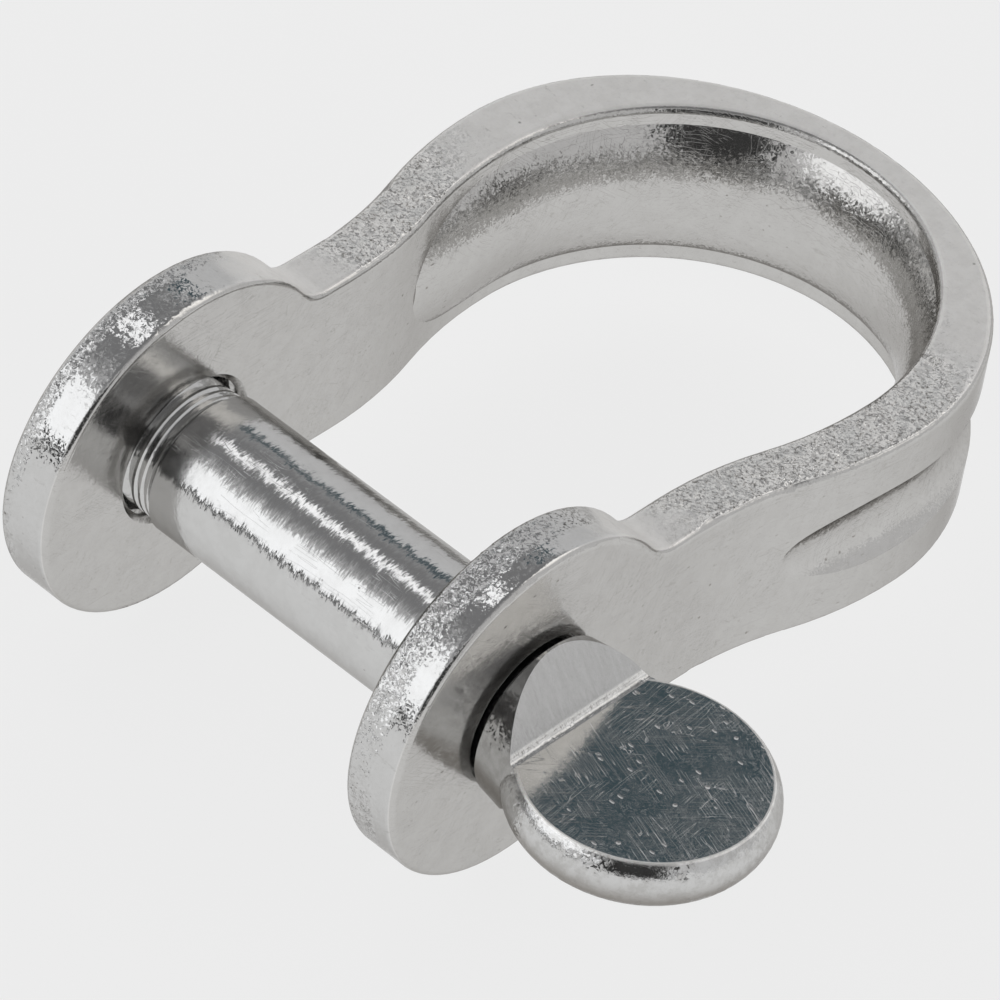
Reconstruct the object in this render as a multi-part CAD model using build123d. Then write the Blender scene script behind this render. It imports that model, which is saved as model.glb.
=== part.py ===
from build123d import *
import math
import os

# Bow shackle for sailing, pressed from strip, with a screw pin that has a flat thumb paddle.
# Frame: the origin is on the pin's axis, midway between the ears. +X runs along the pin to
# its paddle, +Y to the crown of the bow and +Z square to the plane of the bow. Millimetres.

# Strip and ears
JAW = 13.0                  # clear gap between the two ears
STRIP_THICKNESS = 1.95
STRIP_WIDTH = 6.56
EAR_RADIUS = 6.13
EAR_NECK_FILLET = 1.3       # where the round ear runs into the strip
EDGE_ROUNDING = 0.25

# Bow, as the half outline of its inner and outer faces
LEG_STRAIGHT_END = 7.0      # the strip leaves the ear parallel to the bow's middle plane
BOW_WIDEST_Y = 15.6
INNER_HALF_WIDTH = 7.76
INNER_CROWN_RISE = 8.44
OUTER_WIDEST_Y = 16.0
OUTER_HALF_WIDTH = 9.86
OUTER_CROWN_RISE = 9.16

# Rope saddle pressed inwards, and the groove that the press leaves outside
SADDLE_HALF_WIDTH = 2.6
SADDLE_HEIGHT = 0.85
SADDLE_END_Y = 10.8
SADDLE_TAPER = 3.6
GROOVE_HALF_WIDTH = 1.45
GROOVE_DEPTH = 0.6
GROOVE_END_Y = 10.7
GROOVE_TAPER = 4.5
SECTION_STEP = 2.2          # spacing of the cross-sections along the bow
END_TURNS = (10, 25, 45, 67)    # degrees round the quarter ellipse that closes each end
LEG_SAMPLES = 400           # steps along the bow when looking for a band's end
EMBED = 0.4                 # how far a section's flat back reaches into or past the strip

# Pin
PIN_RADIUS = 2.5
UNDERCUT_RADIUS = 2.3       # a groove round the shank, just inside the plain ear
UNDERCUT_LENGTH = 0.6
THREAD_PITCH = 0.5
THREAD_DEPTH = 0.28
THREAD_FLAT = 0.1           # width of a thread's crest
THREAD_CREST_RADIUS = 2.46
RUNOUT_RADIUS = 2.34        # finely ridged neck between the thread and the plain shank
RUNOUT_PITCH = 0.28
RUNOUT_DEPTH = 0.1
SHANK_SHOULDER_GAP = 0.85   # from the threaded ear's inner face to the end of the plain shank
PIN_TIP_PROUD = 0.35        # the threaded tip stands this far out of the ear
PIN_TIP_CHAMFER = 0.3
SHOULDER_CHAMFER = 0.08
CLEARANCE_HOLE_RADIUS = 2.72
TAPPED_HOLE_RADIUS = 2.54
TAPPED_HOLE_CHAMFER = 0.2
CUTTER_OVERRUN = 1.0        # how far a hole's cutter runs past the ear's faces

# Head of the pin: a hub that shoulders on the ear, ramped down to a round thumb paddle
HEAD_GAP = 0.12             # between the ear and the head of the pin
NECK_LENGTH = 0.2
NECK_RADIUS = 2.3
HUB_RADIUS = 2.85
RAMP_START_GAP = 0.08       # plain cylinder before the ramps begin
RAMP_LENGTH = 1.42
RAMP_FOOT_HALF_WIDTH = 3.3
CREASE_RADIUS = 0.3         # hollow rounding between a ramp and the paddle's flat
PADDLE_THICKNESS = 1.8
PADDLE_RADIUS = 4.3
PADDLE_CENTRE_X = 13.0
PADDLE_RIM_RADIUS = 1.29    # section of the bulging rim

EAR_INNER_X = JAW / 2
EAR_OUTER_X = JAW / 2 + STRIP_THICKNESS
HALF_STRIP = STRIP_WIDTH / 2
NECK_X = EAR_OUTER_X + HEAD_GAP
HUB_X = NECK_X + NECK_LENGTH


def leg_arcs(side, x_ear, x_wide, y_wide):
    """The S-shaped face of one leg: two equal tangent arcs from the ear to the bow's widest point."""
    half_rise = (y_wide - LEG_STRAIGHT_END) / 2
    start = (side * x_ear, LEG_STRAIGHT_END)
    middle = (side * (x_ear + x_wide) / 2, LEG_STRAIGHT_END + half_rise)
    widest = (side * x_wide, y_wide)
    return [TangentArc(start, middle, tangent=(0, 1)), TangentArc(widest, middle, tangent=(0, -1))]


def bow_face(x_ear, x_wide, y_wide, rise):
    """One face of the bow seen along Z, from the +X leg round the crown to the -X leg."""
    crown = EllipticalCenterArc((0, y_wide), x_wide, rise, start_angle=0, arc_size=180)
    right = leg_arcs(1, x_ear, x_wide, y_wide)
    left = leg_arcs(-1, x_ear, x_wide, y_wide)
    return Wire(right + [crown] + left)


def inner_face_wire():
    return bow_face(EAR_INNER_X, INNER_HALF_WIDTH, BOW_WIDEST_Y, INNER_CROWN_RISE)


def outer_face_wire():
    return bow_face(EAR_OUTER_X, OUTER_HALF_WIDTH, OUTER_WIDEST_Y, OUTER_CROWN_RISE)


def bow_strip():
    """The strip from one ear round the crown to the other, as an extruded outline."""
    ends = [
        Line((side * EAR_INNER_X, LEG_STRAIGHT_END), (side * EAR_OUTER_X, LEG_STRAIGHT_END))
        for side in (1, -1)
    ]
    edges = list(inner_face_wire().edges()) + list(outer_face_wire().edges()) + ends
    outline = make_face(Wire(edges))
    return extrude(outline, amount=HALF_STRIP, both=True)


def ear():
    """The round ear at +X, with the neck that runs into the leg."""
    neck_y = LEG_STRAIGHT_END / 2
    profile = Circle(EAR_RADIUS) + Pos(neck_y, 0) * Rectangle(LEG_STRAIGHT_END, STRIP_WIDTH)
    joins = profile.vertices().filter_by(lambda v: EAR_RADIUS / 2 < v.X < EAR_RADIUS)
    profile = fillet(joins, EAR_NECK_FILLET)
    plane = Plane(origin=(EAR_INNER_X, 0, 0), x_dir=(0, 1, 0), z_dir=(1, 0, 0))
    return extrude(plane * profile, amount=STRIP_THICKNESS)


def lens_section(wire, position, half_width, height):
    """A cross-section of the saddle or groove: an arc that bulges inwards over a flat back."""
    point = wire.position_at(position)
    side = Vector(0, 0, 1).cross(wire.tangent_at(position))
    to_middle = Vector(0, BOW_WIDEST_Y, 0) - point
    if side.dot(to_middle) < 0:
        side = side * -1
    top = Vector(0, 0, half_width)
    back = side * -EMBED
    arc = ThreePointArc(point - top, point + side * height, point + top)
    base = Polyline(point + top, point + top + back, point - top + back, point - top)
    return make_face(Wire([arc] + list(base.edges())))


def band_stations(run, taper):
    """Places along a band of the given length, each with its width as a share of the full width.

    Both ends are quarter ellipses, so the band closes like the print of a thumb.
    """
    end = [
        (taper * (1 - math.cos(math.radians(turn))), math.sin(math.radians(turn)))
        for turn in END_TURNS
    ]
    steps = round((run - 2 * taper) / SECTION_STEP)
    middle = [(taper + (run - 2 * taper) * i / steps, 1.0) for i in range(steps + 1)]
    far_end = [(run - distance, share) for distance, share in reversed(end)]
    return end + middle + far_end


def moulded_band(wire, end_y, taper, half_width, height):
    """A solid lofted through lens sections round the crown, as a round die would press it.

    A round die that goes in less deeply leaves a narrower print: the height falls with the
    square of the width.
    """
    length = wire.length
    leg = next(i for i in range(LEG_SAMPLES) if wire.position_at(i / LEG_SAMPLES).Y > end_y)
    start = leg / LEG_SAMPLES * length
    sections = []
    for distance, share in band_stations(length - 2 * start, taper):
        position = (start + distance) / length
        sections.append(lens_section(wire, position, half_width * share, height * share**2))
    return loft(sections)


def saddle():
    return moulded_band(inner_face_wire(), SADDLE_END_Y, SADDLE_TAPER,
                        SADDLE_HALF_WIDTH, SADDLE_HEIGHT)


def outer_groove():
    return moulded_band(outer_face_wire(), GROOVE_END_Y, GROOVE_TAPER,
                        GROOVE_HALF_WIDTH, GROOVE_DEPTH)


def ring_profile(start_x, length, pitch, flat_radius, valley_radius):
    """Ridges drawn as rings: the points of a V-grooved side from start_x towards +X."""
    turns = round(length / pitch)
    half_flank = (pitch - THREAD_FLAT) / 2
    points = []
    for i in range(turns):
        x = start_x + i * pitch
        points.append((x, flat_radius))
        points.append((x + THREAD_FLAT, flat_radius))
        points.append((x + THREAD_FLAT + half_flank, valley_radius))
    return points


def turned(points):
    """A solid of revolution round the pin's axis from an (x, radius) outline that ends on the axis."""
    outline = make_face(Polyline(*points, close=True))
    return revolve(outline, axis=Axis.X)


def tapped_hole():
    """Cutter for the threaded hole in the ear at -X, with a small chamfer at both mouths."""
    mouth = TAPPED_HOLE_RADIUS + TAPPED_HOLE_CHAMFER
    points = [(-EAR_OUTER_X - CUTTER_OVERRUN, 0), (-EAR_OUTER_X - CUTTER_OVERRUN, mouth)]
    points += [(-EAR_OUTER_X, mouth)]
    points += ring_profile(-EAR_OUTER_X + TAPPED_HOLE_CHAMFER,
                           STRIP_THICKNESS - 2 * TAPPED_HOLE_CHAMFER, THREAD_PITCH,
                           TAPPED_HOLE_RADIUS, TAPPED_HOLE_RADIUS + THREAD_DEPTH)
    points += [(-EAR_INNER_X - TAPPED_HOLE_CHAMFER, TAPPED_HOLE_RADIUS), (-EAR_INNER_X, mouth)]
    points += [(-EAR_INNER_X + CUTTER_OVERRUN, mouth), (-EAR_INNER_X + CUTTER_OVERRUN, 0)]
    return turned(points)


def clearance_hole():
    """Cutter for the plain hole in the ear at +X."""
    middle = (EAR_INNER_X + EAR_OUTER_X) / 2
    length = STRIP_THICKNESS + 2 * CUTTER_OVERRUN
    return Pos(middle, 0, 0) * Rot(0, 90, 0) * Cylinder(CLEARANCE_HOLE_RADIUS, length)


def shackle_body():
    """The pressed strip: one piece with both ears, the rope saddle and the outer groove."""
    near = ear()
    body = bow_strip() + near + mirror(near, about=Plane.YZ)
    body = fillet(body.edges(), EDGE_ROUNDING)
    body = body + saddle() - outer_groove()
    return body - tapped_hole() - clearance_hole()


def pin_shank():
    """The plain shank and its threaded tip, which stands a little out of the threaded ear."""
    tip_x = -EAR_OUTER_X - PIN_TIP_PROUD
    shoulder_x = -EAR_INNER_X + SHANK_SHOULDER_GAP
    thread_x = tip_x + PIN_TIP_CHAMFER
    points = [(tip_x, 0), (tip_x, THREAD_CREST_RADIUS - PIN_TIP_CHAMFER)]
    points += ring_profile(thread_x, -EAR_INNER_X - thread_x, THREAD_PITCH,
                           THREAD_CREST_RADIUS, THREAD_CREST_RADIUS - THREAD_DEPTH)
    points += ring_profile(-EAR_INNER_X, SHANK_SHOULDER_GAP, RUNOUT_PITCH,
                           RUNOUT_RADIUS, RUNOUT_RADIUS - RUNOUT_DEPTH)
    points += [(shoulder_x, RUNOUT_RADIUS), (shoulder_x, PIN_RADIUS - SHOULDER_CHAMFER)]
    undercut_end_x = EAR_INNER_X + UNDERCUT_LENGTH
    points += [(shoulder_x + SHOULDER_CHAMFER, PIN_RADIUS), (EAR_INNER_X, PIN_RADIUS)]
    points += [(EAR_INNER_X, UNDERCUT_RADIUS), (undercut_end_x, UNDERCUT_RADIUS)]
    points += [(undercut_end_x, PIN_RADIUS), (NECK_X, PIN_RADIUS), (NECK_X, 0)]
    return turned(points)


def paddle_plate():
    """The round thumb plate, coined flat on both faces, with a bulging rim."""
    half = PADDLE_THICKNESS / 2
    flat_radius = PADDLE_RADIUS - PADDLE_RIM_RADIUS + math.sqrt(PADDLE_RIM_RADIUS**2 - half**2)
    rim = ThreePointArc((flat_radius, -half), (PADDLE_RADIUS, 0), (flat_radius, half))
    sides = Polyline((flat_radius, half), (0, half), (0, -half), (flat_radius, -half))
    profile = make_face(Plane.XZ * Wire([rim] + list(sides.edges())))
    return Pos(PADDLE_CENTRE_X, 0, 0) * revolve(profile, axis=Axis.Z)


def ramped_hub():
    """The hub forged out sideways and ramped down to the plate on both faces."""
    ramp_x = HUB_X + RAMP_START_GAP
    foot_x = ramp_x + RAMP_LENGTH
    end_x = foot_x + CREASE_RADIUS
    facing = Plane(origin=(HUB_X, 0, 0), x_dir=(0, 1, 0), z_dir=(1, 0, 0))
    bar = facing * Circle(HUB_RADIUS)
    spread = facing.offset(end_x - HUB_X) * Ellipse(RAMP_FOOT_HALF_WIDTH, HUB_RADIUS)
    flared = loft([bar.face(), spread.face()])
    half = PADDLE_THICKNESS / 2
    side_view = Polyline((HUB_X, -HUB_RADIUS), (HUB_X, HUB_RADIUS), (ramp_x, HUB_RADIUS),
                         (foot_x, half), (end_x, half), (end_x, -half), (foot_x, -half),
                         (ramp_x, -HUB_RADIUS), close=True)
    outline = make_face(side_view)
    creases = outline.vertices().filter_by(lambda v: abs(v.X - foot_x) < CREASE_RADIUS / 2)
    outline = fillet(creases, CREASE_RADIUS)
    wedge = extrude(Plane.XZ * outline, amount=2 * HUB_RADIUS, both=True)
    return flared & wedge


def pin_head():
    neck = Pos((NECK_X + HUB_X) / 2, 0, 0) * Rot(0, 90, 0) * Cylinder(NECK_RADIUS, NECK_LENGTH)
    behind_ear = Pos(HUB_X + 2 * PADDLE_RADIUS, 0, 0) * Box(
        4 * PADDLE_RADIUS, 4 * PADDLE_RADIUS, 4 * PADDLE_RADIUS)
    return neck + ramped_hub() + (paddle_plate() & behind_ear)


def main():
    os.makedirs("parts", exist_ok=True)
    pieces = {
        "shackle_body": shackle_body(),
        "pin_shank": pin_shank(),
        "pin_head": pin_head(),
    }
    for name, piece in pieces.items():
        piece.label = name
        export_step(piece, f"parts/{name}.step")


if __name__ == "__main__":
    main()
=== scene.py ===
import math

import bpy
from mathutils import Euler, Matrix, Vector


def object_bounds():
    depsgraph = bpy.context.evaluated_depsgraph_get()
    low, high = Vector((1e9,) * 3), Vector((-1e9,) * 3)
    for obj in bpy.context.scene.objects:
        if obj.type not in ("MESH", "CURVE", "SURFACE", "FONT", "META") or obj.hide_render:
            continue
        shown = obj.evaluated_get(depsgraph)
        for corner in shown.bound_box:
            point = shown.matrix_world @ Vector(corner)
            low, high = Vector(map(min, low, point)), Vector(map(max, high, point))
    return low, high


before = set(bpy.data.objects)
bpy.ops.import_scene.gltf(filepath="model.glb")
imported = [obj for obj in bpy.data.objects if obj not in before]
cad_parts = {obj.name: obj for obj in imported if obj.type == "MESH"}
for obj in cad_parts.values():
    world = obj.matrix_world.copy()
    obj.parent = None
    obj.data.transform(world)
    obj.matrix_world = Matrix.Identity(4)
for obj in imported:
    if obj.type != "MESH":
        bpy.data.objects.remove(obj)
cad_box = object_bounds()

# Bow shackle in bright steel, lying on a pale studio floor. Metres, and the same frame as the
# CAD: +X along the pin to its paddle, +Y to the crown, +Z square to the bow.

CAMERA_PLACE = (0.11168, -0.13944, 0.16486)
CAMERA_TURN = (47.667, -6.888, 43.543)      # degrees
CAMERA_LENS = 284.5
CAMERA_SENSOR = 36.0
CAMERA_SHIFT = (0.0111, -0.0194)
CAMERA_NEAR_CLIP = 0.01

FLOOR_HALF = 3.0
FLOOR_COLOUR = (0.10, 0.10, 0.10, 1)
FLOOR_GLOW = (0.785, 0.785, 0.785, 1)

OVERHEAD_PLACE = (-0.1, -0.15, 0.8)
OVERHEAD_WIDTH = 1.2
OVERHEAD_WATTS = 0.6

# The studio round the object: azimuth, elevation, half width and half height in degrees, then
# the softness of the edge and the colour
STUDIO_PANELS = (
    (-152, 22, 22, 17, 0.10, (1.40, 1.41, 1.43, 1)),
    (-151, 2.2, 26, 4.2, 0.02, (0.03, 0.03, 0.03, 1)),
    (-90, 66, 5, 15, 0.05, (1.45, 1.45, 1.47, 1)),
    (140, 18, 24, 22, 0.12, (0.05, 0.05, 0.05, 1)),
    (-38.7, 42.7, 5.0, 3.9, 0.03, (0.060, 0.090, 0.105, 1)),
    (-115, 3, 20, 8, 0.15, (0.30, 0.30, 0.30, 1)),
    (39, 43, 14, 12, 0.15, (1.25, 1.23, 1.20, 1)),
)
PANEL_FACING = 0.05     # a panel doesn't show again behind the object
STUDIO_WALL = (0.68, 0.68, 0.685, 1)
STUDIO_CEILING = (0.24, 0.24, 0.245, 1)
CEILING_RISE = (0.58, 0.84)     # where the wall blends into the ceiling, as a direction's height

# Steel as it looks on each kind of surface, with the colours of a painted highlight and a painted
# shade among them
POLISHED = (0.595, 0.588, 0.575, 1)
BRIGHT = (0.64, 0.64, 0.635, 1)
# the strip's satin edges, and the painted highlight along the head's crease and the flat's outline
SATIN_AND_PAINTED_HIGHLIGHT = (1.0, 0.99, 0.97, 1)
STAINED = (0.25, 0.235, 0.21, 1)
# painted shade on the lower part of the paddle's rim
PAINTED_SHADE_RIM = (0.36, 0.345, 0.325, 1)
GRAZING_TINT = (0.62, 0.61, 0.60, 1)

# Textures are laid out in millimetres. These places are too.
MM = 1000.0
NOISE_MIDDLE = 0.5
EAR_NECK_Y = 7.0        # above this the strip's edges face up and down only
NECK_BLEND = 2.0        # length over which they turn to do so
LEG_GRAIN_Y = (5.4, 8.4)        # where the coarse grain begins along a leg
EAR_SHINE_Y = (1.2, 3.8)        # where an ear's shiny rim ends, towards the crown
CROWN_EDGE_Y = 15.5     # the edge is smooth above this on the leg away from the paddle
CROWN_EDGE_BLEND = 3.5
PADDLE_LEG_RISE = 5.5   # the grain reaches this much higher on the leg next to the paddle
PADDLE_LEG_X = 6.0
GRAIN_EDGE_X = (-7.85, 7.60)    # where each ear's rim turns from grainy to smooth, towards +X
GRAIN_EDGE_BLEND = 0.12
RAMP_FOOT_X = 10.25     # where the head's ramp ends and the paddle's flat begins
CREASE_X = 10.17
PADDLE_CENTRE = (13.0, 0.0, 0.0)
FLAT_RADIUS = 3.93      # of the paddle's flat, inside its rim
PAINTED_SHADE_RIM_Z = (-0.60, 0.30)    # painted shade: the paddle's rim is darker below this

# Areas told apart by how far the surface faces an axis, from 0 to 1: the ends of each blend
RIM_FACING_X = (0.35, 0.65)         # an ear's rim lies under this, and its faces above
BOW_EDGE_FACING_Z = (0.80, 0.93)
INSIDE_FACING_Z = (0.10, 0.30)      # the saddle's and the groove's sloping sides
FLAT_FACING_Z = (0.975, 0.998)
RAMP_FACING_Y = (0.02, 0.10)        # the head's ramps and the crease lie under these
CREASE_FACING_Y = (0.05, 0.20)

# Half widths of the fine lines on the head, which carry a painted highlight, in millimetres:
# full inside the first, gone at the second
CREASE_HALF_WIDTH = (0.03, 0.09)
OUTLINE_HALF_WIDTH = (0.02, 0.07)
RAMP_FOOT_BLEND = 0.1
OUTLINE_START_BLEND = 0.3

# The borders of the grain wander
WANDER_PER_MM = 0.7
WANDER_REACH = 5.0
RIM_WANDER_SHARE = 0.10

# Patches cut from a noise, whose values lie about a half: where a patch starts, and is full.
# The longer ones go on with the values outside and inside the patch.
BUMPY = (0.42, 0.62, 0.12, 1.0)
WORN = (0.42, 0.62, 0.15, 1.0)
MOTTLE = (0.35, 0.65)
RUBS = (0.60, 0.68)
FLECK = (0.52, 0.70)
HAZE = (0.36, 0.64)
BLOTCHES = (0.40, 0.62)

# Facets, each tipped its own way
STRIP_FACETS_PER_MM = 14.0
HEAD_FACETS_PER_MM = 10.0
FACET_WARP = 0.35       # millimetres, in swirls this many facets across
FACETS_PER_SWIRL = 3

# Marks round the shank: how far they tip its surface, the degrees that they lean, and for the
# hairs and the broader tufts the marks per millimetre along each axis and their share
SHANK_ROCK = 0.52
SHANK_SLANT = 14
HAIRS_PER_MM = (17.0, 3.4, 3.4)
TUFTS_PER_MM = (3.5, 1.2, 1.2)
HAIR_SHARE = 0.72
TUFT_SHARE = 0.28
BRUSHING_SLANT = -16    # degrees that the brushing on the head's ramps leans

# What each area or kind of mark adds, by the name of its mask, and what all of the surface has.
# A tip is how far facets lean from the surface, and a grain or relief is in millimetres. Stains
# and roughness run from 0 to 1.
STRIP_TIP = {"all": 0.03, "edge": 0.03, "bumpy_edge": 0.95, "smooth_rim": 0.07,
             "grainy_rim": 0.50, "inside": 0.11}
STRIP_GRAIN = {"all": 0.0012, "edge": 0.0030, "coarse": 0.034, "grainy_rim": 0.0200}
STRIP_RELIEF = {"grain": 1.0, "waves": 0.016, "peel": 0.0022, "lines": -0.0016, "pits": -0.010,
                "nicks": -0.008}
STRIP_STAIN = {"pits": 0.8, "nicks": 0.6, "lines": 0.16, "mottle": 0.07, "rubs": 0.22,
               "fleck": 0.06, "coarse_fleck": 0.74, "coarse": 0.12}
STRIP_ROUGHNESS = {"all": 0.13, "edge": 0.47, "shiny_rim": -0.52, "coarse": -0.48, "mottle": 0.04}

SHANK_RELIEF = {"peel": 0.0022, "pits": -0.006, "lines": -0.0012}
SHANK_STAIN = {"pits": 0.5, "mottle": 0.06}
SHANK_ROUGHNESS = {"all": 0.11, "mottle": 0.06}

HEAD_TIP = {"all": 0.01, "worn_rim": 0.30, "worn_flat": 0.016, "crease": 0.12}
HEAD_GRAIN = {"all": 0.0008, "rim": 0.0120, "crease": 0.012}
HEAD_RELIEF = {"grain": 1.0, "brushing": 0.0500, "scuffs": 0.0024, "lines": -0.0030,
               "pits": -0.014, "nicks": -0.009}
HEAD_STAIN = {"streaks": 0.26, "blotches": 0.26, "haze": 0.10}
HEAD_ROUGHNESS = {"all": 0.035, "haze": 0.07, "ramp": 0.20, "rim": 0.05, "lines": 0.10,
                  "painted_highlight_edge_line": 0.40}

# Hairlines: axis and degrees that they are turned about, stretch, half width, and how seldom
STRIP_LINES = (
    ((1, 0, 0), 0, (2.0, 0.5, 9.0), 0.010, 0.42),
    ((1, 0, 0), 38, (2.0, 0.7, 9.0), 0.010, 0.44),
    ((1, 0, 0), -62, (2.0, 0.9, 9.0), 0.010, 0.46),
)
SHANK_LINES = (
    ((1, 0, 0), 0, (0.7, 7.0, 7.0), 0.012, 0.48),
)
HEAD_LINES = (
    ((0, 0, 1), 20, (0.35, 9.0, 1.0), 0.012, 0.47),
    ((0, 0, 1), -48, (0.30, 7.0, 1.0), 0.010, 0.50),
    ((0, 0, 1), 85, (0.40, 8.0, 1.0), 0.010, 0.52),
)
LINE_PATCHES_PER_MM = 0.55
LINE_PATCH_BLEND = 0.08


def new_material(name):
    material = bpy.data.materials.new(name)
    material.use_nodes = True
    material.node_tree.nodes.clear()
    return material, Nodes(material.node_tree)


class Nodes:
    """Short calls for building a node tree."""

    def __init__(self, tree):
        self.tree = tree

    def add(self, kind, inputs=None, **settings):
        node = self.tree.nodes.new(kind)
        for name, value in settings.items():
            setattr(node, name, value)
        for name, value in (inputs or {}).items():
            self.set(node, name, value)
        return node

    def set(self, node, name, value):
        socket = node.inputs[name]
        if isinstance(value, bpy.types.NodeSocket):
            self.tree.links.new(value, socket)
        else:
            socket.default_value = value

    def math(self, operation, *values):
        node = self.add("ShaderNodeMath", operation=operation)
        for index, value in enumerate(values):
            self.set(node, index, value)
        return node.outputs[0]

    def vector(self, operation, *values, scale=None):
        node = self.add("ShaderNodeVectorMath", operation=operation)
        for index, value in enumerate(values):
            self.set(node, index, value)
        if scale is not None:
            self.set(node, "Scale", scale)
        return node.outputs["Value" if operation in ("DOT_PRODUCT", "LENGTH") else "Vector"]

    def ramp(self, value, low, high, out_low=0.0, out_high=1.0):
        """A smooth step from out_low to out_high as value goes from low to high."""
        node = self.add("ShaderNodeMapRange", interpolation_type="SMOOTHSTEP")
        for index, number in enumerate((value, low, high, out_low, out_high)):
            self.set(node, index, number)
        return node.outputs[0]

    def fall(self, value, low, high):
        """A smooth step from 1 to 0 as value goes from low to high."""
        return self.ramp(value, low, high, 1.0, 0.0)

    def noise(self, place, scale, detail=2.0, roughness=0.5):
        node = self.add("ShaderNodeTexNoise", {
            "Vector": place, "Scale": scale, "Detail": detail, "Roughness": roughness,
        })
        return node.outputs["Fac"]

    def stretch(self, place, factors):
        return self.vector("MULTIPLY", place, factors)

    def mix_colour(self, share, first, second):
        node = self.add("ShaderNodeMix", data_type="RGBA")
        self.set(node, "Factor", share)
        self.set(node, 6, first)
        self.set(node, 7, second)
        return node.outputs[2]

    def mix(self, share, first, second):
        """first where share is 0 and second where it is 1."""
        node = self.add("ShaderNodeMix", data_type="FLOAT")
        self.set(node, "Factor", share)
        self.set(node, "A", first)
        self.set(node, "B", second)
        return node.outputs["Result"]

    def split(self, vector):
        return self.add("ShaderNodeSeparateXYZ", {0: vector}).outputs

    def total(self, *values):
        result = values[0]
        for value in values[1:]:
            result = self.math("ADD", result, value)
        return result

    def times(self, *values):
        result = values[0]
        for value in values[1:]:
            result = self.math("MULTIPLY", result, value)
        return result

    def weighted(self, weights, masks):
        """The weight named all, plus each other weight times the mask of its name."""
        parts = [self.times(masks[name], weight) for name, weight in weights.items()
                 if name != "all"]
        return self.total(weights.get("all", 0.0), *parts)

    def size(self, value):
        return self.math("ABSOLUTE", value)

    def minus(self, first, second):
        return self.math("SUBTRACT", first, second)

    def outside(self, mask):
        return self.minus(1.0, mask)

    def turned(self, place, axis, degrees):
        node = self.add("ShaderNodeVectorRotate", {"Vector": place}, rotation_type="AXIS_ANGLE")
        self.set(node, "Axis", axis)
        self.set(node, "Angle", math.radians(degrees))
        return node.outputs[0]

    def bump(self, height, normal):
        """Relief from a height in millimetres."""
        return self.add("ShaderNodeBump", {
            "Strength": 1.0, "Distance": 1 / MM, "Height": height, "Normal": normal,
        }).outputs[0]


def direction(azimuth, elevation):
    """A unit vector, with azimuth 0 at +Y and growing towards +X."""
    a = math.radians(azimuth)
    e = math.radians(elevation)
    return Vector((math.sin(a) * math.cos(e), math.cos(a) * math.cos(e), math.sin(e)))


def panel_mask(nodes, sight, azimuth, elevation, half_width, half_height, softness):
    """1 inside a rectangular panel of the studio, seen in a direction, and 0 outside it."""
    facing = direction(azimuth, elevation)
    across = direction(azimuth + 90, 0)
    upward = across.cross(facing)
    depth = nodes.vector("DOT_PRODUCT", sight, facing)
    mask = nodes.ramp(depth, 0.0, PANEL_FACING)
    for axis, half in ((across, half_width), (upward, half_height)):
        reach = math.sin(math.radians(half))
        away = nodes.size(nodes.vector("DOT_PRODUCT", sight, axis))
        mask = nodes.times(mask, nodes.fall(away, reach - softness / 2, reach + softness / 2))
    return mask


def make_studio():
    """Soft surroundings: pale walls, a dim ceiling, two soft boxes, a strip light, dark cards."""
    world = bpy.data.worlds.new("studio")
    bpy.context.scene.world = world
    world.use_nodes = True
    world.node_tree.nodes.clear()
    nodes = Nodes(world.node_tree)
    sight = nodes.add("ShaderNodeTexCoord").outputs["Generated"]
    height = nodes.split(sight)[2]
    colour = nodes.mix_colour(nodes.ramp(height, *CEILING_RISE), STUDIO_WALL, STUDIO_CEILING)
    for *panel, panel_colour in STUDIO_PANELS:
        colour = nodes.mix_colour(panel_mask(nodes, sight, *panel), colour, panel_colour)
    background = nodes.add("ShaderNodeBackground", {"Color": colour, "Strength": 1.0})
    nodes.add("ShaderNodeOutputWorld", {"Surface": background.outputs[0]})


def make_lights():
    """A broad, weak overhead light, so that the floor darkens a little under the object."""
    data = bpy.data.lights.new("overhead", "AREA")
    data.shape = "DISK"
    data.size = OVERHEAD_WIDTH
    data.energy = OVERHEAD_WATTS
    lamp = bpy.data.objects.new("overhead", data)
    lamp.location = OVERHEAD_PLACE
    lamp.rotation_euler = (-lamp.location).to_track_quat("-Z", "Y").to_euler()
    lamp.visible_glossy = False
    bpy.context.collection.objects.link(lamp)


def make_floor():
    z = cad_box[0][2]
    mesh = bpy.data.meshes.new("floor")
    corners = [(x * FLOOR_HALF, y * FLOOR_HALF, z) for x, y in ((-1, -1), (1, -1), (1, 1), (-1, 1))]
    mesh.from_pydata(corners, [], [(0, 1, 2, 3)])
    floor = bpy.data.objects.new("floor", mesh)
    bpy.context.collection.objects.link(floor)
    material, nodes = new_material("floor_paper")
    shader = nodes.add("ShaderNodeBsdfPrincipled", {
        "Base Color": FLOOR_COLOUR, "Roughness": 1.0, "Specular IOR Level": 0.0,
        "Emission Color": FLOOR_GLOW, "Emission Strength": 1.0,
    })
    nodes.add("ShaderNodeOutputMaterial", {"Surface": shader.outputs[0]})
    mesh.materials.append(material)


def make_camera():
    data = bpy.data.cameras.new("camera")
    data.lens = CAMERA_LENS
    data.sensor_width = CAMERA_SENSOR
    data.shift_x, data.shift_y = CAMERA_SHIFT
    data.clip_start = CAMERA_NEAR_CLIP
    camera = bpy.data.objects.new("camera", data)
    camera.location = CAMERA_PLACE
    camera.rotation_euler = Euler([math.radians(a) for a in CAMERA_TURN])
    bpy.context.collection.objects.link(camera)
    bpy.context.scene.camera = camera


def surface_of(nodes):
    """The place on the object in millimetres, and the direction its surface faces."""
    coordinates = nodes.add("ShaderNodeTexCoord")
    place = nodes.stretch(coordinates.outputs["Object"], (MM, MM, MM))
    return place, coordinates.outputs["Normal"]


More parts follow.
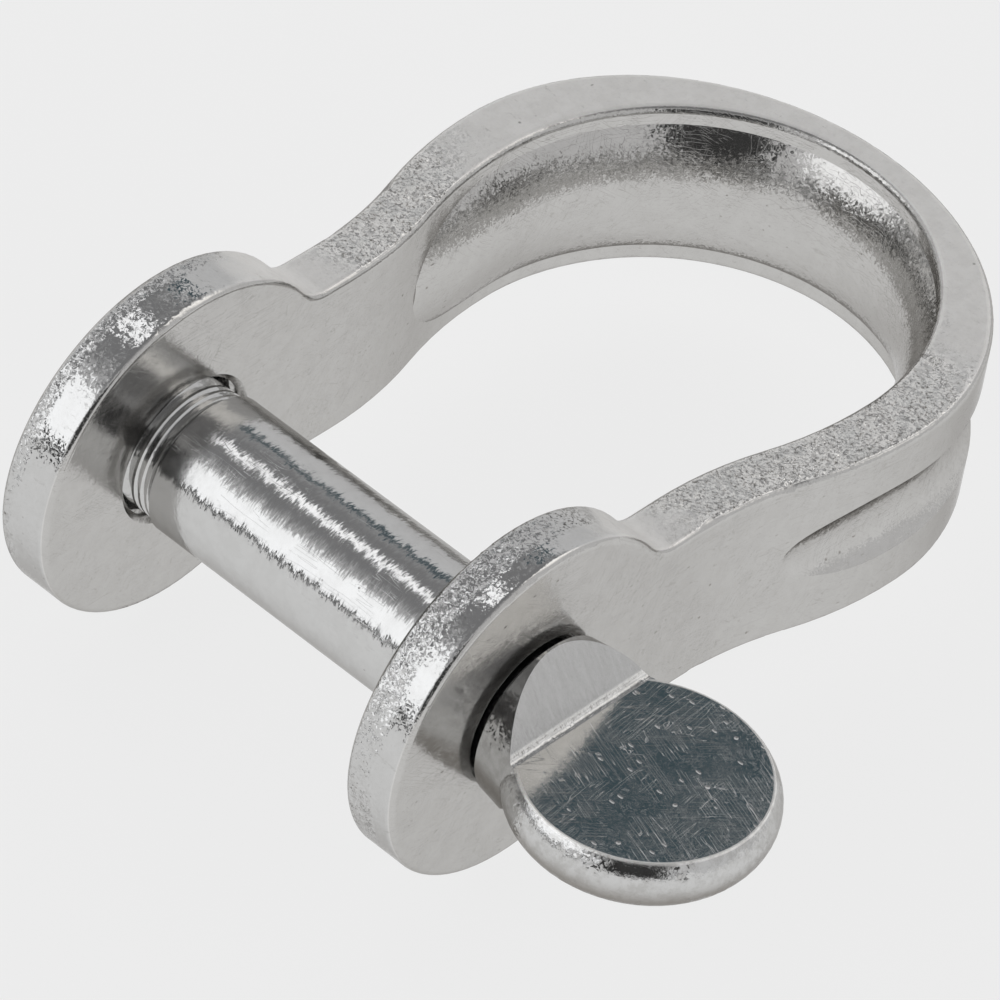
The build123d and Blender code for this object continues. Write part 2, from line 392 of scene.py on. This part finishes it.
def finish_steel(nodes, colour, roughness, normal):
    shader = nodes.add("ShaderNodeBsdfPrincipled", {
        "Base Color": colour, "Metallic": 1.0, "Roughness": roughness, "Normal": normal,
        "Specular Tint": GRAZING_TINT,
    })
    nodes.add("ShaderNodeOutputMaterial", {"Surface": shader.outputs[0]})


def hairlines(nodes, place, table):
    """1 on thin wandering lines, long in the direction that is stretched least, and 0 elsewhere."""
    sets = []
    for axis, degrees, stretch, width, seldom in table:
        leaning = nodes.turned(place, axis, degrees) if degrees else place
        wave = nodes.noise(nodes.stretch(leaning, stretch), scale=1.0, detail=0.0)
        line = nodes.fall(nodes.size(nodes.minus(wave, NOISE_MIDDLE)), 0.0, width)
        spread = nodes.noise(leaning, scale=LINE_PATCHES_PER_MM, detail=1.0)
        sets.append(nodes.times(line, nodes.ramp(spread, seldom, seldom + LINE_PATCH_BLEND)))
    return nodes.total(*sets)


def dents(nodes, place, per_mm, radius, share):
    """1 in the middle of small scattered dents and 0 outside them."""
    cells = nodes.add("ShaderNodeTexVoronoi", {"Vector": place, "Scale": per_mm, "Randomness": 1.0})
    depth = nodes.fall(cells.outputs["Distance"], 0.0, radius * per_mm)
    lot = nodes.split(cells.outputs["Color"])[0]
    return nodes.times(depth, nodes.math("LESS_THAN", lot, share))


def to_world(nodes, normal):
    turn = nodes.add("ShaderNodeVectorTransform", {"Vector": normal}, vector_type="NORMAL",
                     convert_from="OBJECT", convert_to="WORLD")
    return nodes.vector("NORMALIZE", turn.outputs[0])


def faceted_normal(nodes, place, facing, per_mm, amount):
    """The surface's normal tipped at random from one small facet to the next."""
    swirl = nodes.add("ShaderNodeTexNoise", {"Vector": place, "Scale": per_mm / FACETS_PER_SWIRL,
                                          "Detail": 2.0})
    warp = nodes.vector("SCALE", swirl.outputs["Color"], scale=FACET_WARP)
    shifted = nodes.vector("ADD", place, warp)
    cells = nodes.add("ShaderNodeTexVoronoi", {"Vector": shifted, "Scale": per_mm})
    tip = nodes.vector("SUBTRACT", cells.outputs["Color"], (NOISE_MIDDLE,) * 3)
    return to_world(nodes, nodes.vector("ADD", facing, nodes.vector("SCALE", tip, scale=amount)))


def strip_areas(nodes, place, facing):
    """Masks of the strip: its edges, their coarse and shiny stretches, and inside the bow."""
    place_x = nodes.split(place)[0]
    place_y = nodes.split(place)[1]
    away_x = nodes.size(nodes.split(facing)[0])
    away_z = nodes.size(nodes.split(facing)[2])
    rim = nodes.fall(away_x, *RIM_FACING_X)
    bow_edge = nodes.ramp(away_z, *BOW_EDGE_FACING_Z)
    on_bow = nodes.ramp(place_y, EAR_NECK_Y, EAR_NECK_Y + NECK_BLEND)
    edge = nodes.mix(on_bow, rim, bow_edge)
    inside = nodes.times(nodes.ramp(away_z, *INSIDE_FACING_Z), nodes.outside(edge), on_bow)

    swing = nodes.minus(nodes.noise(place, scale=WANDER_PER_MM, detail=2.0), NOISE_MIDDLE)
    wander = nodes.times(swing, WANDER_REACH)
    leg_y = nodes.total(place_y, wander)
    rise = nodes.ramp(place_x, 0.0, PADDLE_LEG_X, 0.0, PADDLE_LEG_RISE)
    below_crown = nodes.fall(nodes.minus(leg_y, rise), CROWN_EDGE_Y - CROWN_EDGE_BLEND, CROWN_EDGE_Y)
    coarse = nodes.times(edge, nodes.ramp(leg_y, *LEG_GRAIN_Y), below_crown)
    bumpy = nodes.ramp(nodes.noise(place, scale=1.1, detail=2.0), *BUMPY)

    shiny_rim = nodes.times(edge, nodes.fall(leg_y, *EAR_SHINE_Y))
    seam_x = nodes.mix(nodes.math("GREATER_THAN", place_x, 0.0), *GRAIN_EDGE_X)
    past_seam = nodes.total(nodes.minus(place_x, seam_x), nodes.times(wander, RIM_WANDER_SHARE))
    grainy = nodes.fall(past_seam, -GRAIN_EDGE_BLEND, GRAIN_EDGE_BLEND)
    return {
        "edge": edge, "inside": inside,
        "coarse": coarse, "bumpy_edge": nodes.times(coarse, bumpy),
        "shiny_rim": shiny_rim, "grainy_rim": nodes.times(shiny_rim, grainy),
        "smooth_rim": nodes.times(shiny_rim, nodes.outside(grainy)),
    }


def strip_marks(nodes, place, areas):
    """Masks of the strip's waves, grain, wear and stains."""
    rubbed = nodes.stretch(place, (1.0, 2.6, 3.4))
    nicked = nodes.stretch(place, (1.0, 0.45, 1.0))
    fleck = nodes.ramp(nodes.noise(place, scale=9.0, detail=3.0, roughness=0.7), *FLECK)
    pebbles = nodes.noise(place, scale=4.0, detail=4.0, roughness=0.65)
    return {
        "grain": nodes.times(pebbles, nodes.weighted(STRIP_GRAIN, areas)),
        "waves": nodes.noise(place, scale=0.9, detail=2.0),
        "peel": nodes.noise(place, scale=3.5, detail=3.0, roughness=0.6),
        "lines": nodes.times(hairlines(nodes, place, STRIP_LINES), nodes.outside(areas["edge"])),
        "pits": dents(nodes, place, per_mm=1.3, radius=0.080, share=0.40),
        "nicks": dents(nodes, nicked, per_mm=2.4, radius=0.05, share=0.30),
        "mottle": nodes.ramp(nodes.noise(place, scale=1.4, detail=5.0, roughness=0.7), *MOTTLE),
        "rubs": nodes.ramp(nodes.noise(rubbed, scale=1.0, detail=6.0, roughness=0.75), *RUBS),
        "fleck": fleck,
        "coarse_fleck": nodes.times(fleck, areas["coarse"]),
    }


def strip_steel():
    """The pressed strip: smooth faces with fine wear, and grainy edges."""
    material, nodes = new_material("polished_strip_steel")
    place, facing = surface_of(nodes)
    areas = strip_areas(nodes, place, facing)
    masks = {**areas, **strip_marks(nodes, place, areas)}
    tip = nodes.weighted(STRIP_TIP, masks)
    facets = faceted_normal(nodes, place, facing, STRIP_FACETS_PER_MM, tip)
    edge_colour = nodes.mix_colour(masks["shiny_rim"], SATIN_AND_PAINTED_HIGHLIGHT, BRIGHT)
    clean = nodes.mix_colour(masks["edge"], POLISHED, edge_colour)
    stain = nodes.math("MINIMUM", nodes.weighted(STRIP_STAIN, masks), 1.0)
    colour = nodes.mix_colour(stain, clean, STAINED)
    normal = nodes.bump(nodes.weighted(STRIP_RELIEF, masks), facets)
    finish_steel(nodes, colour, nodes.weighted(STRIP_ROUGHNESS, masks), normal)
    return material


def feathered_normal(nodes, place, facing):
    """The surface's normal rocked about the pin's axis by short marks that run round the bar."""
    slanted = nodes.turned(place, (0, 1, 1), SHANK_SLANT)
    finely = nodes.stretch(slanted, HAIRS_PER_MM)
    broadly = nodes.stretch(slanted, TUFTS_PER_MM)
    hairs = nodes.noise(finely, scale=1.0, detail=3.0, roughness=0.7)
    tufts = nodes.noise(broadly, scale=1.0, detail=1.0)
    marks = nodes.total(nodes.times(hairs, HAIR_SHARE), nodes.times(tufts, TUFT_SHARE))
    rock = nodes.times(nodes.minus(marks, NOISE_MIDDLE), SHANK_ROCK)
    around = nodes.vector("NORMALIZE", nodes.vector("CROSS_PRODUCT", (1.0, 0.0, 0.0), facing))
    leaning = nodes.vector("ADD", facing, nodes.vector("SCALE", around, scale=rock))
    return to_world(nodes, leaning)


def shank_steel():
    """Bright bar, with fine marks round it that fray the edges of its reflections."""
    material, nodes = new_material("polished_pin_steel")
    place, facing = surface_of(nodes)
    masks = {
        "peel": nodes.noise(place, scale=6.0, detail=2.0),
        "pits": dents(nodes, place, per_mm=1.6, radius=0.06, share=0.25),
        "lines": hairlines(nodes, place, SHANK_LINES),
        "mottle": nodes.ramp(nodes.noise(place, scale=1.8, detail=4.0, roughness=0.65), *MOTTLE),
    }
    colour = nodes.mix_colour(nodes.weighted(SHANK_STAIN, masks), BRIGHT, STAINED)
    feathered = feathered_normal(nodes, place, facing)
    normal = nodes.bump(nodes.weighted(SHANK_RELIEF, masks), feathered)
    finish_steel(nodes, colour, nodes.weighted(SHANK_ROUGHNESS, masks), normal)
    return material


def head_areas(nodes, place, facing):
    """Masks of the head: flats, ramps, rim, their worn parts, the crease and the flat's outline,
    along which a highlight is painted, and the rim's lower part, where shade is painted.
    """
    place_x = nodes.split(place)[0]
    away_y = nodes.size(nodes.split(facing)[1])
    away_z = nodes.size(nodes.split(facing)[2])
    flat = nodes.ramp(away_z, *FLAT_FACING_Z)
    ramp = nodes.times(nodes.fall(away_y, *RAMP_FACING_Y),
                       nodes.fall(place_x, RAMP_FOOT_X - RAMP_FOOT_BLEND, RAMP_FOOT_X))
    rim = nodes.outside(nodes.math("MAXIMUM", flat, ramp))
    paddle_x = RAMP_FOOT_X + OUTLINE_START_BLEND
    worn = nodes.ramp(nodes.noise(place, scale=1.2, detail=2.0), *WORN)
    from_crease = nodes.size(nodes.minus(place_x, CREASE_X))
    from_centre = nodes.stretch(nodes.vector("SUBTRACT", place, PADDLE_CENTRE), (1.0, 1.0, 0.0))
    from_edge = nodes.size(nodes.minus(nodes.vector("LENGTH", from_centre), FLAT_RADIUS))
    return {
        "flat": flat, "ramp": ramp, "rim": rim,
        "worn_rim": nodes.times(rim, worn),
        "worn_flat": nodes.times(flat, worn),
        # the crease: its facets tip more, and a highlight is painted along it
        "crease": nodes.times(nodes.fall(from_crease, *CREASE_HALF_WIDTH),
                              nodes.fall(away_y, *CREASE_FACING_Y)),
        # painted highlight: a bright line along the flat's outline
        "painted_highlight_edge_line": nodes.times(nodes.fall(from_edge, *OUTLINE_HALF_WIDTH),
                                 nodes.ramp(place_x, RAMP_FOOT_X, paddle_x)),
        # painted shade: the rim turns darker towards its lower part
        "painted_shade_underneath": nodes.times(rim, nodes.fall(nodes.split(place)[2], *PAINTED_SHADE_RIM_Z)),
    }


def head_marks(nodes, place, areas):
    """Masks of the head's brushing, grain, scratches and stains."""
    flat = areas["flat"]
    ramp = areas["ramp"]
    brushed = nodes.stretch(nodes.turned(place, (0, 0, 1), BRUSHING_SLANT), (0.6, 8.0, 0.6))
    scuffed = nodes.stretch(place, (5.0, 9.0, 1.0))
    nicked = nodes.stretch(place, (0.45, 1.0, 1.0))
    streaks = nodes.noise(nodes.stretch(place, (0.9, 7.0, 0.9)), scale=1.0, detail=3.0)
    haze = nodes.ramp(nodes.noise(place, scale=0.8, detail=6.0, roughness=0.75), *HAZE)
    blotches = nodes.ramp(nodes.noise(place, scale=2.2, detail=6.0, roughness=0.7), *BLOTCHES)
    pebbles = nodes.noise(place, scale=5.0, detail=4.0, roughness=0.7)
    return {
        "grain": nodes.times(pebbles, nodes.weighted(HEAD_GRAIN, areas)),
        "brushing": nodes.times(ramp, nodes.noise(brushed, scale=1.0, detail=5.0, roughness=0.75)),
        "scuffs": nodes.times(flat, nodes.noise(scuffed, scale=1.0, detail=4.0, roughness=0.75)),
        "lines": nodes.times(flat, hairlines(nodes, place, HEAD_LINES)),
        "pits": nodes.times(flat, dents(nodes, place, per_mm=1.1, radius=0.09, share=0.35)),
        "nicks": nodes.times(flat, dents(nodes, nicked, per_mm=3.2, radius=0.055, share=0.38)),
        "streaks": nodes.times(ramp, streaks),
        "haze": nodes.times(flat, haze),
        "blotches": nodes.times(areas["rim"], blotches),
    }


def head_steel():
    """The pin's head: mirror flats with scratches, brushed ramps and a grainy rim, with a painted
    highlight along the crease and the flat's outline and painted shade on the rim's lower part.
    """
    material, nodes = new_material("polished_head_steel")
    place, facing = surface_of(nodes)
    areas = head_areas(nodes, place, facing)
    masks = {**areas, **head_marks(nodes, place, areas)}
    tip = nodes.weighted(HEAD_TIP, masks)
    facets = faceted_normal(nodes, place, facing, HEAD_FACETS_PER_MM, tip)
    # painted highlight: the crease and the flat's outline are coloured brighter
    outline = nodes.math("MAXIMUM", masks["crease"], masks["painted_highlight_edge_line"])
    clean = nodes.mix_colour(outline, BRIGHT, SATIN_AND_PAINTED_HIGHLIGHT)
    # painted shade on the rim's lower part
    with_painted_shade = nodes.mix_colour(masks["painted_shade_underneath"], clean, PAINTED_SHADE_RIM)
    colour = nodes.mix_colour(nodes.weighted(HEAD_STAIN, masks), with_painted_shade, STAINED)
    normal = nodes.bump(nodes.weighted(HEAD_RELIEF, masks), facets)
    finish_steel(nodes, colour, nodes.weighted(HEAD_ROUGHNESS, masks), normal)
    return material


def dress(node, material):
    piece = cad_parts[node]
    for slot in piece.material_slots:
        slot.material = material


def main():
    bpy.context.scene.view_settings.view_transform = "Standard"
    make_studio()
    make_lights()
    make_floor()
    make_camera()
    dress("shackle_body", strip_steel())
    dress("pin_shank", shank_steel())
    dress("pin_head", head_steel())


main()
